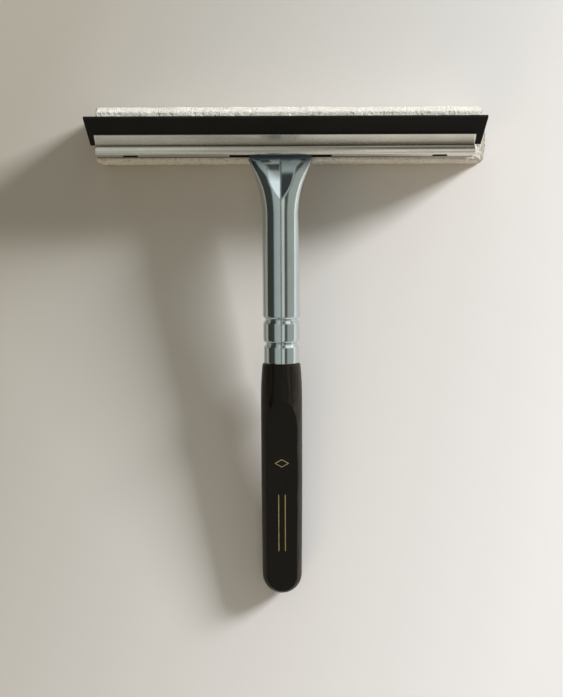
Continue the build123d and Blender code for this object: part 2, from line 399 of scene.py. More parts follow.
@dataclass(frozen=True)
class Finish:
    """What every finish has: a name, a colour and a roughness.

    In every finish a scale is a number of marks per metre, a share is a strength from 0 to 1, and a span runs
    from the value where a mask starts to the value where it is full.

    Attributes:
        name: Name of the material.
        colour: Base colour in linear light.
        rough: Roughness where the surface is clean.
    """

    name: str
    colour: Colour
    rough: float

    def build(self, effects: Effects) -> bpy.types.Material:
        """Makes the material.

        Args:
            effects: Shared node groups.

        Returns:
            The material.
        """
        coat = Coat.open(self.name, effects)
        self.paint(coat)
        return coat.material

    def paint(self, coat: Coat) -> None:
        """Lays the finish on a material, each finish in its own way."""
        raise NotImplementedError

    def shade(self, gain: float) -> Colour:
        """The finish's colour made lighter or darker."""
        return tuple(min(1.0, channel * gain) for channel in self.colour)


@dataclass(frozen=True)
class PaintedShadeLine:
    """Painted shade that thickens along a direction, on faces that look out of the front.

    Attributes:
        along: Direction in which it thickens.
        front: Direction out of the front.
        span: Distances along the direction where it starts and where it is full, in metres.
    """

    # A face takes the painted shade by how far it looks out of the front. The slowness is the power of the
    # thickening.
    FACING_SPAN = (0.0, 0.3)
    SLOWNESS = 1.5

    along: Triple
    front: Triple
    span: Span

    def mask(self, coat: Coat) -> Socket:
        """Adds the nodes of its mask.

        Args:
            coat: Material in the making.

        Returns:
            The output socket of the mask.
        """
        bench = coat.bench
        reach = bench.spread(bench.dot(coat.where, self.along), self.span)
        seen = bench.spread(bench.dot(coat.facing, self.front), self.FACING_SPAN)
        return bench.math("MULTIPLY", bench.math("POWER", reach, self.SLOWNESS), seen)


@dataclass(frozen=True)
class PressedForm:
    """How pressing has bent a face: its normal leans, more and more along a direction.

    Attributes:
        along: Direction along which the form begins.
        span: Distances along the direction where it begins and where it is whole, in metres.
        lean: How far the normal leans.
    """

    along: Triple
    span: Span
    lean: Triple

    def bend(self, coat: Coat, normal: Socket) -> Socket:
        """Bends a normal.

        Args:
            coat: Material in the making.
            normal: Normal to bend.

        Returns:
            The output socket of the bent normal.
        """
        bench = coat.bench
        share = bench.spread(bench.dot(coat.where, self.along), self.span)
        lean = bench.make("ShaderNodeVectorMath", {0: self.lean, "Scale": share}, operation="SCALE")
        return bench.vector("NORMALIZE", bench.vector("ADD", normal, lean))


@dataclass(frozen=True)
class PlatedSteel(Finish):
    """Bright zinc plate on sheet or tube, with drawn lines, dull patches, worn edges and painted shade.

    Attributes:
        lay: Direction of the drawn lines.
        line_depth: Depth of the lines in metres.
        dull: Colour of the dull patches.
        edge_radius: Radius that the edges are rounded to, in metres.
        painted_shade: Colour of the painted shade in its creases and along its line.
        crevice_reach: How near a facing wall has to be to make a crevice, in metres.
        crevice_open: Open shares of the sky at which a crease has no painted shade and at which its painted
            shade is full.
        brushed: How much more the lines blur reflections across them than along them.
        line: Where else painted shade is laid.
        form: How pressing has bent a part of it.
    """

    LINE_SCALE = 60.0
    LINE_STRENGTH = 0.5
    LINE_ROUGH = 0.04
    DULL_SHARE = 0.6
    DULL_ROUGH = 0.05
    EDGE_GAIN = 1.06

    lay: Lay = Lay.ALONG_BLADE
    line_depth: float = 0.012 * MM
    dull: Colour = (0.5, 0.5, 0.48)
    edge_radius: float = 0.3 * MM
    painted_shade: Colour = (0.03, 0.033, 0.034)
    crevice_reach: float = 8.0 * MM
    crevice_open: Span = (0.5, 0.1)
    brushed: float = 0.0
    line: PaintedShadeLine | None = None
    form: PressedForm | None = None

    def paint(self, coat: Coat) -> None:
        """Lays the plate, its wear and its painted shade.

        Args:
            coat: Material in the making.
        """
        bench, effects = coat.bench, coat.effects
        drawn = {"lay": self.lay.value, "scale": self.LINE_SCALE}
        lines = effects.lines.place(bench, vector=coat.where, **drawn)
        patches = effects.handling.place(bench, vector=coat.where)["Patches"]
        edges = effects.edges.place(bench, radius=self.edge_radius)
        tone = bench.tint(self.colour, patches, self.DULL_SHARE, self.dull)
        tone = bench.mix(edges["Wear"], tone, self.shade(self.EDGE_GAIN))
        # Painted shade: the colour darkens in creases, slots and hollows that ambient occlusion finds, and
        # along the shade line.
        clear, dark = self.crevice_open
        crevice_shade = effects.crevice_shade.place(bench, reach=self.crevice_reach, clear=clear, dark=dark)
        tone = bench.mix(crevice_shade["Mask"], tone, self.painted_shade)
        if self.line:
            tone = bench.mix(self.line.mask(coat), tone, self.painted_shade)
        rough = bench.math("MULTIPLY_ADD", lines["Mask"], self.LINE_ROUGH, self.rough)
        rough = bench.math("MULTIPLY_ADD", patches, self.DULL_ROUGH, rough)
        coat.set(Base_Color=tone, Roughness=rough, Metallic=1.0)
        if self.brushed:
            across = bench.make("ShaderNodeTangent", {}, direction_type="RADIAL", axis="X")
            coat.set(Tangent=across, Anisotropic=self.brushed)
        normal = edges["Normal"]
        if self.form:
            normal = self.form.bend(coat, normal)
        coat.set(Normal=bench.bump(normal, lines["Height"], self.LINE_STRENGTH, self.line_depth))


@dataclass(frozen=True)
class Moulding(Finish):
    """A moulded skin with a fine grain, a slow change of tone and softened edges.

    Attributes:
        grain_scale: Grains per metre.
        grain_depth: Depth of the grain in metres.
        tone_scale: Changes of tone per metre.
        tone_gain: How much lighter or darker its second tone is.
        edge_radius: Radius that the edges are rounded to, in metres.
    """

    GRAIN_STRENGTH = 0.4

    grain_scale: float = 1800.0
    grain_depth: float = 0.03 * MM
    tone_scale: float = 60.0
    tone_gain: float = 1.7
    edge_radius: float = 0.3 * MM

    def paint(self, coat: Coat) -> None:
        """Lays the skin and its wear.

        Args:
            coat: Material in the making.
        """
        bench, effects = coat.bench, coat.effects
        scales = {"grain_scale": self.grain_scale, "tone_scale": self.tone_scale}
        grain = effects.grain.place(bench, vector=coat.where, **scales)
        edges = effects.edges.place(bench, radius=self.edge_radius)
        tone = bench.mix(grain["Tone"], self.colour, self.shade(self.tone_gain))
        normal = bench.bump(edges["Normal"], grain["Height"], self.GRAIN_STRENGTH, self.grain_depth)
        coat.set(Roughness=self.rough, Normal=normal)
        coat.set(Base_Color=self.wear(coat, tone, edges["Wear"]))

    def wear(self, coat: Coat, tone: Socket, edges: Socket) -> Socket:
        """The colour with its wear, which a plain moulding doesn't have."""
        return tone


@dataclass(frozen=True)
class BlackSkin(Moulding):
    """Black rubber or plastic with faint dust, greasy patches, wear on its edges and painted sheen in streaks
    on its flanks.

    Attributes:
        dust: Colour of the dust.
        dust_share: Strength of the dust specks.
        rub_and_sheen: Colour of the worn edges and of the painted sheen streaks on its flanks.
        rub_and_sheen_share: Strength of the edge wear and the painted sheen.
    """

    SHINE = 0.22
    PATCH_SCALE = 30.0
    PATCH_ROUGH = 0.1
    DUST_SCALE = 700.0
    SHEEN_STREAK_SCALE = 22.0
    FLANK_SPAN = (0.12, 0.45)

    dust: Colour = (0.16, 0.15, 0.13)
    dust_share: float = 0.15
    rub_and_sheen: Colour = (0.034, 0.027, 0.017)
    rub_and_sheen_share: float = 0.0

    def wear(self, coat: Coat, tone: Socket, edges: Socket) -> Socket:
        """Paints sheen and wear on the colour, dusts it, and roughens the skin where it is greasy.

        Args:
            coat: Material in the making.
            tone: Colour of the clean skin.
            edges: Mask of the worn edges.

        Returns:
            The output socket of the worn colour.
        """
        bench = coat.bench
        scales = {"patch_scale": self.PATCH_SCALE, "speck_scale": self.DUST_SCALE}
        marks = coat.effects.handling.place(bench, vector=coat.where, **scales)
        rough = bench.math("MULTIPLY_ADD", marks["Patches"], self.PATCH_ROUGH, self.rough)
        coat.set(Roughness=rough, Specular_IOR_Level=self.SHINE)
        if self.rub_and_sheen_share:
            # Painted sheen on the sideways-facing flanks, joined with real wear on the edges, lightens the
            # colour.
            worn = bench.math("MAXIMUM", self._sheen_streaks(coat), edges)
            tone = bench.tint(tone, worn, self.rub_and_sheen_share, self.rub_and_sheen)
        return bench.tint(tone, marks["Specks"], self.dust_share, self.dust)

    def _sheen_streaks(self, coat: Coat) -> Socket:
        """Adds the nodes of the painted sheen streaks on the flanks.

        Args:
            coat: Material in the making.

        Returns:
            The output socket of their mask.
        """
        bench = coat.bench
        drawn = {"lay": Lay.ALONG_STEM.value, "scale": self.SHEEN_STREAK_SCALE}
        lines = coat.effects.lines.place(bench, vector=coat.where, **drawn)
        sideways = bench.math("ABSOLUTE", bench.dot(coat.facing, BLADE_AXIS))
        return bench.math("MULTIPLY", lines["Mask"], bench.spread(sideways, self.FLANK_SPAN))


@dataclass(frozen=True)
class CellFoam(Finish):
    """Off-white open foam: pale cell walls, painted shade in its pores and cells, and a faint warm mottle.

    Attributes:
        pore: Colour of the shade painted inside the pores of the mesh, inside the small cells between them and
            on the foam's worn end.
        mottle: Colour of the warm mottle.
        glow_reach: How far red, green and blue light pass through the foam, in metres.
    """

    PORE_SHARE = 0.55
    MOTTLE_SCALE = 120.0
    MOTTLE_SHARE = 0.35
    CELL_SCALE = 900.0
    CELL_SPAN = (0.02, 0.22)
    CELL_SHARE = 0.22
    CELL_SINK = -0.7
    GRAIN_SCALE = 1400.0
    RELIEF = 0.8
    RELIEF_DEPTH = 0.5 * MM
    SHINE = 0.2
    GLOW_SHARE = 0.15

    pore: Colour = (0.2, 0.17, 0.12)
    mottle: Colour = (0.78, 0.7, 0.56)
    glow_reach: Triple = (2.5 * MM, 2.0 * MM, 1.5 * MM)

    def paint(self, coat: Coat) -> None:
        """Lays the foam's cells, the painted shade in its pores and cells, and its mottle.

        Args:
            coat: Material in the making.
        """
        bench = coat.bench
        scales = {"grain_scale": self.GRAIN_SCALE, "tone_scale": self.MOTTLE_SCALE}
        grain = coat.effects.grain.place(bench, vector=coat.where, **scales)
        cells = {"Vector": coat.where, "Scale": self.CELL_SCALE}
        walls = bench.make("ShaderNodeTexVoronoi", cells, "Distance", feature="DISTANCE_TO_EDGE")
        hollow = bench.spread(walls, self.CELL_SPAN)
        # Painted shade: the stored value darkens deep pores and the worn end face, and the cell hollows are
        # darkened too.
        sunk = bench.make("ShaderNodeAttribute", {}, "Fac", attribute_name=SpongePad.SHADE_ATTRIBUTE)
        tone = bench.tint(self.colour, grain["Tone"], self.MOTTLE_SHARE, self.mottle)
        tone = bench.tint(tone, sunk, self.PORE_SHARE, self.pore)
        tone = bench.tint(tone, hollow, self.CELL_SHARE, self.pore)
        height = bench.math("MULTIPLY_ADD", hollow, self.CELL_SINK, grain["Height"])
        relief = {"Height": height, "Strength": self.RELIEF, "Distance": self.RELIEF_DEPTH}
        normal = bench.make("ShaderNodeBump", relief, "Normal")
        coat.set(Base_Color=tone, Roughness=self.rough, Specular_IOR_Level=self.SHINE, Normal=normal)
        coat.shader.subsurface_method = "RANDOM_WALK"
        coat.set(Subsurface_Weight=self.GLOW_SHARE, Subsurface_Radius=self.glow_reach)


@dataclass(frozen=True)
class GoldFoil(Finish):
    """Thin hot-stamped gold foil with small dull places where it hasn't taken.

    Attributes:
        dull: Colour of the dull places.
        dull_scale: Dull places per metre.
        dull_share: Strength of the dull places.
    """

    dull: Colour = (0.2, 0.14, 0.06)
    dull_scale: float = 400.0
    dull_share: float = 0.5

    def paint(self, coat: Coat) -> None:
        """Lays the foil.

        Args:
            coat: Material in the making.
        """
        bench = coat.bench
        marks = coat.effects.handling.place(bench, vector=coat.where, patch_scale=self.dull_scale)
        tone = bench.tint(self.colour, marks["Patches"], self.dull_share, self.dull)
        coat.set(Base_Color=tone, Roughness=self.rough, Metallic=1.0)


@dataclass(frozen=True)
class PaleTable(Finish):
    """Matt table top with painted light: it grows lighter across the top.

    Attributes:
        lighter: Colour of its side where more light is painted.
        slope: Direction in which the painted light grows.
        span: Distances along that direction where it starts to grow lighter and where it stops, in metres.
        shine: Specular level of the top.
    """

    lighter: Colour = (0.88, 0.855, 0.84)
    slope: Triple = (0.88, -0.474, 0.0)
    span: Span = (-0.2, 0.2)
    shine: float = 0.1

    def paint(self, coat: Coat) -> None:
        """Lays the top's colours.

        Args:
            coat: Material in the making.
        """
        bench = coat.bench
        # Painted light: the colour grows lighter along the slope, where the window's light falls brighter.
        share = bench.spread(bench.dot(coat.where, self.slope), self.span)
        tone = bench.mix(share, self.colour, self.lighter)
        coat.set(Base_Color=tone, Roughness=self.rough, Specular_IOR_Level=self.shine)


@dataclass
class ToolAxes:
    """The tool's own axes in the frame: along the blade, up from grip to blade, and out of the front.

    Attributes:
        up: Direction from the grip towards the blade.
        out: Direction out of the front.
    """

    up: Vector
    out: Vector

    @classmethod
    def from_record(cls, record: dict) -> "ToolAxes":
        """Reads the axes from the mount on the sponge's working face."""
        out = -Vector(next(mount["axis"] for mount in record["mounts"] if mount["name"] == "sponge_face"))
        return cls(up=out.cross(Vector(BLADE_AXIS)), out=out)

    def point(self, along: float, up: float, out: float) -> Vector:
        """The point in the frame at three distances along the tool's own axes."""
        return self.up * up + self.out * out + Vector((along, 0.0, 0.0))


@dataclass
class SpongePad:
    """The sponge: an open foam block with torn cells, slack faces and a swollen end.

    Lengths are in metres.

    Attributes:
        cell: Size of the mesh's cells.
        pores: Spacing and depth of each size of pore.
        slack: Height of the slow waves of its faces.
        slack_length: Length of those waves.
        frays: Height of the torn cells at its ends and lower face.
        fray_length: Length of the torn cells.
        swell: How far its worn end bulges.
        swell_length: Length of the end that bulges.
        roll_lip: Thickness of the roll of foam over the head's top edge.
        roll_gap: Gap between that roll and the metal.
        roll_root: Depth to which the roll is rooted in the foam.
    """

    # The reach and the bend of a pore are shares of the spacing. A shade says how dark the painted shade of
    # the finish is there.
    PORE_REACH = 0.42
    PORE_ROUND = 0.7
    PORE_BEND = 0.35
    PORE_BEND_LENGTH = 0.8
    TORN_GAIN = 0.5
    SWELL_ROUND = 0.4
    PORE_SHADE = 0.5
    END_SHADE = 1.5
    DARKEST = 1.6
    SEED = 7
    SHADE_ATTRIBUTE = "pore_painted_shade"

    cell: float = 0.6 * MM
    pores: tuple[Pair, ...] = ((2.6 * MM, 0.38 * MM), (1.4 * MM, 0.3 * MM))
    slack: float = 0.4 * MM
    slack_length: float = 14.0 * MM
    frays: float = 0.5 * MM
    fray_length: float = 1.7 * MM
    swell: float = 5.5 * MM
    swell_length: float = 12.0 * MM
    roll_lip: float = 1.6 * MM
    roll_gap: float = 0.6 * MM
    roll_root: float = 4.0 * MM

    def build(self, node: Piece, seat: Piece, axes: ToolAxes) -> Piece:
        """Makes the foam in the place of its solid.

        Args:
            node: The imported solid.
            seat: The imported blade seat, whose top edge the foam swells over.
            axes: The tool's own axes.

        Returns:
            The new piece.
        """
        pad = bpy.data.objects.new("sponge", node.data.copy())
        bpy.context.scene.collection.objects.link(pad)
        self._add_roll(pad.data, seat, axes)
        remesh = pad.modifiers.new("cells", "REMESH")
        remesh.mode = "VOXEL"
        remesh.voxel_size = self.cell
        view = bpy.context.evaluated_depsgraph_get()
        pad.data = bpy.data.meshes.new_from_object(pad.evaluated_get(view))
        pad.modifiers.clear()
        self._open_pores(pad.data)
        for face in pad.data.polygons:
            face.use_smooth = True
        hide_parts("sponge_pad")
        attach(pad, Body.SPONGE.value)
        return pad

    def _add_roll(self, mesh: bpy.types.Mesh, seat: Piece, axes: ToolAxes) -> None:
        """Adds the roll of foam that swells over the top edge of the head.

        Args:
            mesh: Mesh of the foam.
            seat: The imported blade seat.
            axes: The tool's own axes.
        """
        edge = max(vertex.co.dot(axes.up) for vertex in seat.data.vertices)
        top = max(vertex.co.dot(axes.up) for vertex in mesh.vertices)
        rim = edge - self.roll_lip
        plate = [vertex.co.dot(axes.out) for vertex in seat.data.vertices if vertex.co.dot(axes.up) > rim]
        front = max(plate) + self.roll_gap
        root = min(plate) - self.roll_root
        outline = (
            (top - self.roll_lip, root),
            (edge + self.roll_gap, root),
            (edge + self.roll_gap, front),
            (edge - self.roll_lip, front),
            (edge - self.roll_lip, front + self.roll_lip),
            (edge + self.roll_lip, front + self.roll_lip),
            (top - self.roll_lip, front - self.roll_lip),
        )
        ends = [vertex.co.x for vertex in mesh.vertices if vertex.co.dot(axes.up) > top - self.roll_root]
        shape = bmesh.new()
        shape.from_mesh(mesh)
        rings = []
        for x in (min(ends) + self.roll_root, max(ends) - self.roll_root):
            rings.append([shape.verts.new(axes.point(x, up, out)) for up, out in outline])
        left, right = rings
        shape.faces.new(left)
        shape.faces.new(reversed(right))
        for number in range(len(outline)):
            after = (number + 1) % len(outline)
            shape.faces.new((left[after], left[number], right[number], right[after]))
        shape.to_mesh(mesh)
        shape.free()

    def _open_pores(self, mesh: bpy.types.Mesh) -> None:
        """Sinks the pores, waves the faces and stores each point's painted shade for the finish.

        Args:
            mesh: Mesh of the foam.
        """
        noise.seed_set(self.SEED)
        low, high = (Vector(corner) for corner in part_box("sponge_pad"))
        foam_shades = []
        moves = []
        for vertex in mesh.vertices:
            torn = max(abs(vertex.normal.x), -vertex.normal.y, 0.0)
            pores = sum(depth * self._pore(vertex.co, spacing) for spacing, depth in self.pores)
            sunk = pores * (1 + self.TORN_GAIN * torn)
            wave = self.slack * noise.noise(vertex.co / self.slack_length)
            fray = self.frays * torn * noise.noise(vertex.co / self.fray_length)
            moves.append(vertex.normal * (wave + fray - sunk) + self._bulge(vertex.co, low, high))
            # Painted shade: the face of the swollen end that looks along the blade is darkened.
            worn = self.END_SHADE * math.sqrt(self._worn(vertex.co, high)) * max(0.0, vertex.normal.x)
            foam_shades.append(min(self.DARKEST, self.PORE_SHADE * sunk / self.pores[0][1] + worn))
        for vertex, move in zip(mesh.vertices, moves):
            vertex.co += move
            vertex.co.z = max(vertex.co.z, low.z)
        store = mesh.attributes.new(self.SHADE_ATTRIBUTE, "FLOAT", "POINT")
        store.data.foreach_set("value", foam_shades)

    def _worn(self, place: Vector, high: Vector) -> float:
        """How near a point is to the worn end: 0 away from it and 1 at its tip."""
        return max(0.0, 1 - (high.x - place.x) / self.swell_length)

    def _bulge(self, place: Vector, low: Vector, high: Vector) -> Vector:
        """How far the swollen end moves a point.

        Args:
            place: Point on the skin.
            low: Lowest corner of the sponge.
            high: Highest corner of the sponge.

        Returns:
            A move outwards along the blade, most at the back and at half height.
        """
        along = self._worn(place, high)
        height = min(1.0, max(0.0, (place.y - low.y) / (high.y - low.y)))
        back = min(1.0, max(0.0, (high.z - place.z) / (high.z - low.z)))
        bulge = self.swell * along * back * math.sin(math.pi * height) ** self.SWELL_ROUND
        return Vector((bulge, 0.0, 0.0))

    def _pore(self, place: Vector, spacing: float) -> float:
        """How deep a point lies in a pore.

        Args:
            place: Point on the skin.
            spacing: Spacing of the pores in metres.

        Returns:
            From 0 on a cell wall to 1 at the middle of a pore.
        """
        waves = noise.noise_vector(place / (spacing * self.PORE_BEND_LENGTH))
        bent = place + waves * (spacing * self.PORE_BEND)
        nearest = noise.voronoi(bent / spacing)[0][0]
        return max(0.0, 1.0 - nearest / self.PORE_REACH) ** self.PORE_ROUND


@dataclass
class FoilMarks:
    """Plain stamped foil on the grip's flat: a small lozenge and a pair of long rules.

    Attributes:
        lozenge: Width and height of the lozenge in metres.
        lozenge_from_end: Distance of the lozenge from the grip's end.
        rule_length: Length of the rules.
        rule_gap: Distance between the rules.
        rule_from_end: Distance of the middle of the rules from the grip's end.
        line: Width of every foil line.
        lift: Height of the foil over the flat.
    """

    FLAT_FACING = 0.999

    lozenge: Pair = (8.0 * MM, 4.6 * MM)
    lozenge_from_end: float = 75.6 * MM
    rule_length: float = 32.0 * MM
    rule_gap: float = 3.6 * MM
    rule_from_end: float = 42.0 * MM
    line: float = 0.45 * MM
    lift: float = 0.03 * MM

    def build(self, grip: Piece, axes: ToolAxes) -> Piece:
        """Makes the foil on the flat.

        Args:
            grip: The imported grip.
            axes: The tool's own axes.

        Returns:
            The new piece.
        """
        flats = [face for face in grip.data.polygons if face.normal.dot(axes.out) > self.FLAT_FACING]
        flat = max(flats, key=lambda face: face.area)
        height = flat.center.dot(axes.out) + self.lift
        end = min(vertex.co.dot(axes.up) for vertex in grip.data.vertices)
        middle = sum(corner[0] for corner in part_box(grip.name)) / 2
        mesh = bpy.data.meshes.new("foil_marks")
        shape = bmesh.new()
        for outline in self._outlines():
            points = [axes.point(middle + x, end + y, height) for x, y in outline]
            shape.faces.new([shape.verts.new(point) for point in points])
        shape.to_mesh(mesh)
        shape.free()
        foil = bpy.data.objects.new("foil_marks", mesh)
        bpy.context.scene.collection.objects.link(foil)
        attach(foil, Body.TOOL.value)
        return foil

    def _outlines(self) -> list[list[Pair]]:
        """The foil's faces on the flat.

        Returns:
            For each face, its corners across the grip and up from its end.
        """
        half = self.line / 2
        faces = []
        for side in (-1, 1):
            x = side * self.rule_gap / 2
            low = self.rule_from_end - self.rule_length / 2
            high = low + self.rule_length
            faces.append([(x - half, low), (x + half, low), (x + half, high), (x - half, high)])
        corners = [(self.lozenge[0] / 2, 0.0), (0.0, self.lozenge[1] / 2)]
        corners += [(-x, -y) for x, y in corners]
        inner = 1 - 2 * self.line / self.lozenge[1]
        for start, stop in zip(corners, corners[1:] + corners[:1]):
            ring = [start, stop, (stop[0] * inner, stop[1] * inner), (start[0] * inner, start[1] * inner)]
            faces.append([(x, self.lozenge_from_end + y) for x, y in ring])
        return faces


@dataclass
class Finishes:
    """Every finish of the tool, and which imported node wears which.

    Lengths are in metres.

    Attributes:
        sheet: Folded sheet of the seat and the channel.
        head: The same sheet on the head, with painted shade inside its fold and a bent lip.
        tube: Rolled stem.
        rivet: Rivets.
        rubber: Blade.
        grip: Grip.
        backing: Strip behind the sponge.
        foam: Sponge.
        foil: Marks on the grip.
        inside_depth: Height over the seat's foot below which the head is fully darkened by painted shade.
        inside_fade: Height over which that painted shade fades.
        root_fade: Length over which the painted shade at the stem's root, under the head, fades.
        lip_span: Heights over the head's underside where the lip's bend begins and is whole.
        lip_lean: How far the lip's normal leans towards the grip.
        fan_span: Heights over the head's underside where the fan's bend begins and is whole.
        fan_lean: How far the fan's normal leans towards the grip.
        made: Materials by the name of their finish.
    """

    sheet: PlatedSteel = PlatedSteel(
        "zinc_sheet", (0.76, 0.74, 0.68), rough=0.17, dull=(0.66, 0.645, 0.58),
        line_depth=0.004 * MM, brushed=0.9,
    )
    head: PlatedSteel | None = None
    tube: PlatedSteel = PlatedSteel(
        "zinc_tube", (0.66, 0.745, 0.76), rough=0.05, lay=Lay.ALONG_STEM, line_depth=0.005 * MM,
        dull=(0.6, 0.66, 0.66), edge_radius=1.2 * MM, painted_shade=(0.055, 0.075, 0.085),
        crevice_reach=4.0 * MM, crevice_open=(0.5, 0.15),
    )
    rivet: PlatedSteel = PlatedSteel("rivet_steel", (0.6, 0.6, 0.58), rough=0.3)
    rubber: BlackSkin = BlackSkin("black_rubber", (0.0048, 0.0046, 0.0034), rough=0.62, dust_share=0.06)
    grip: BlackSkin = BlackSkin(
        "grip_black", (0.004, 0.003, 0.002), rough=0.34, grain_depth=0.012 * MM, dust_share=0.05,
        edge_radius=0.6 * MM, rub_and_sheen_share=0.7,
    )
    backing: Moulding = Moulding(
        "backing_plastic", (0.62, 0.6, 0.55), rough=0.5, grain_scale=1500.0, grain_depth=0.02 * MM,
        tone_scale=90.0, tone_gain=0.86, edge_radius=0.2 * MM,
    )
    foam: CellFoam = CellFoam("sponge_foam", (0.9, 0.87, 0.79), rough=0.9)
    foil: GoldFoil = GoldFoil("gold_foil", (0.75, 0.56, 0.27), rough=0.35)
    inside_depth: float = 3.1 * MM
    inside_fade: float = 0.4 * MM
    root_fade: float = 9.0 * MM
    lip_span: Span = (4.4 * MM, 4.8 * MM)
    lip_lean: float = 0.28
    fan_span: Span = (-14.0 * MM, -1.0 * MM)
    fan_lean: float = 0.5
    made: dict[str, bpy.types.Material] = field(default_factory=dict)

    def build(self, effects: Effects, nodes: dict[str, Piece], axes: ToolAxes) -> None:
        """Makes every material.

        Args:
            effects: Shared node groups.
            nodes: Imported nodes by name.
            axes: The tool's own axes.
        """
        foot = min(vertex.co.dot(axes.out) for vertex in nodes["blade_seat"].data.vertices)
        under = min(vertex.co.dot(axes.up) for vertex in nodes["head_shell"].data.vertices)
        up, front, rear = (tuple(way) for way in (axes.up, axes.out, -axes.out))
        # Painted shade: the head darkens inside its fold and slots, and the stem darkens at its root under the
        # head.
        inner = -foot - self.inside_depth
        inside = PaintedShadeLine(rear, front, (inner - self.inside_fade, inner))
        root = PaintedShadeLine(up, front, (under - self.root_fade, under))
        lip, fan = (
            PressedForm(up, tuple(under + height for height in span), tuple(axes.up * -lean))
            for span, lean in ((self.lip_span, self.lip_lean), (self.fan_span, self.fan_lean))
        )
        self.head = replace(self.sheet, name="zinc_head", line=inside, form=lip)
        self.tube = replace(self.tube, line=root, form=fan)
        metals = (self.head, self.sheet, self.tube, self.rivet)
        for finish in (*metals, self.rubber, self.grip, self.backing, self.foam, self.foil):
            self.made[finish.name] = finish.build(effects)
            LOG.info("finish %s", finish.name)

    def dress(self, nodes: dict[str, Piece], sponge: Piece, foil: Piece) -> None:
        """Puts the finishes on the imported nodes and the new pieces.

        Args:
            nodes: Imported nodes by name.
            sponge: The new sponge.
            foil: The foil marks.
        """
        worn = {
            "head_shell": self.head,
            "blade_seat": self.sheet,
            "sponge_channel": self.sheet,
            "stem_tube": self.tube,
            "seat_rivets": self.rivet,
            "stem_rivets": self.rivet,
            "rubber_blade": self.rubber,
            "sponge_backing": self.backing,
            "grip": self.grip,
        }
        pieces = [(nodes[name], finish) for name, finish in worn.items()]
        pieces += [(sponge, self.foam), (foil, self.foil)]
        for piece, finish in pieces:
            piece.data.materials.clear()
            piece.data.materials.append(self.made[finish.name])
            LOG.info("%s wears %s", piece.name, finish.name)


@dataclass(frozen=True)
class RoomBand:
    """One band of the room, which runs along the stem's direction.

    Attributes:
        middle: Angle of the band from straight up, in degrees, positive towards the window's side.
        colour: Brightness of the band in linear light.
    """

    FULL_TURN = 360.0

    middle: float
    colour: Colour

    def stop(self) -> float:
        """Place of the band on a ramp that runs once round the tool, with straight up at its middle."""
        return 0.5 + self.middle / self.FULL_TURN


@dataclass(frozen=True)
class Lamp:
    """A soft rectangular lamp that faces the tool.

    Attributes:
        name: Name of the lamp.
        direction: Direction from the tool to the lamp.
        distance: Distance of the lamp in metres.
        width: Width of the lamp in metres.
        height: Height of the lamp in metres.
        power: Power in watts.
        colour: Colour of its light.
    """

    name: str
    direction: Triple
    distance: float
    width: float
    height: float
    power: float
    colour: Colour

    def build(self) -> None:
        """Hangs the lamp."""
        toward = Vector(self.direction).normalized()
        light = bpy.data.lights.new(self.name, "AREA")
        light.shape = "RECTANGLE"
        light.size = self.width
        light.size_y = self.height
        light.energy = self.power
        light.color = self.colour
        lamp = bpy.data.objects.new(self.name, light)
        facing = toward.to_track_quat("Z", "Y").to_matrix().to_4x4()
        lamp.matrix_world = Matrix.Translation(toward * self.distance) @ facing
        lamp.visible_glossy = False
        bpy.context.scene.collection.objects.link(lamp)


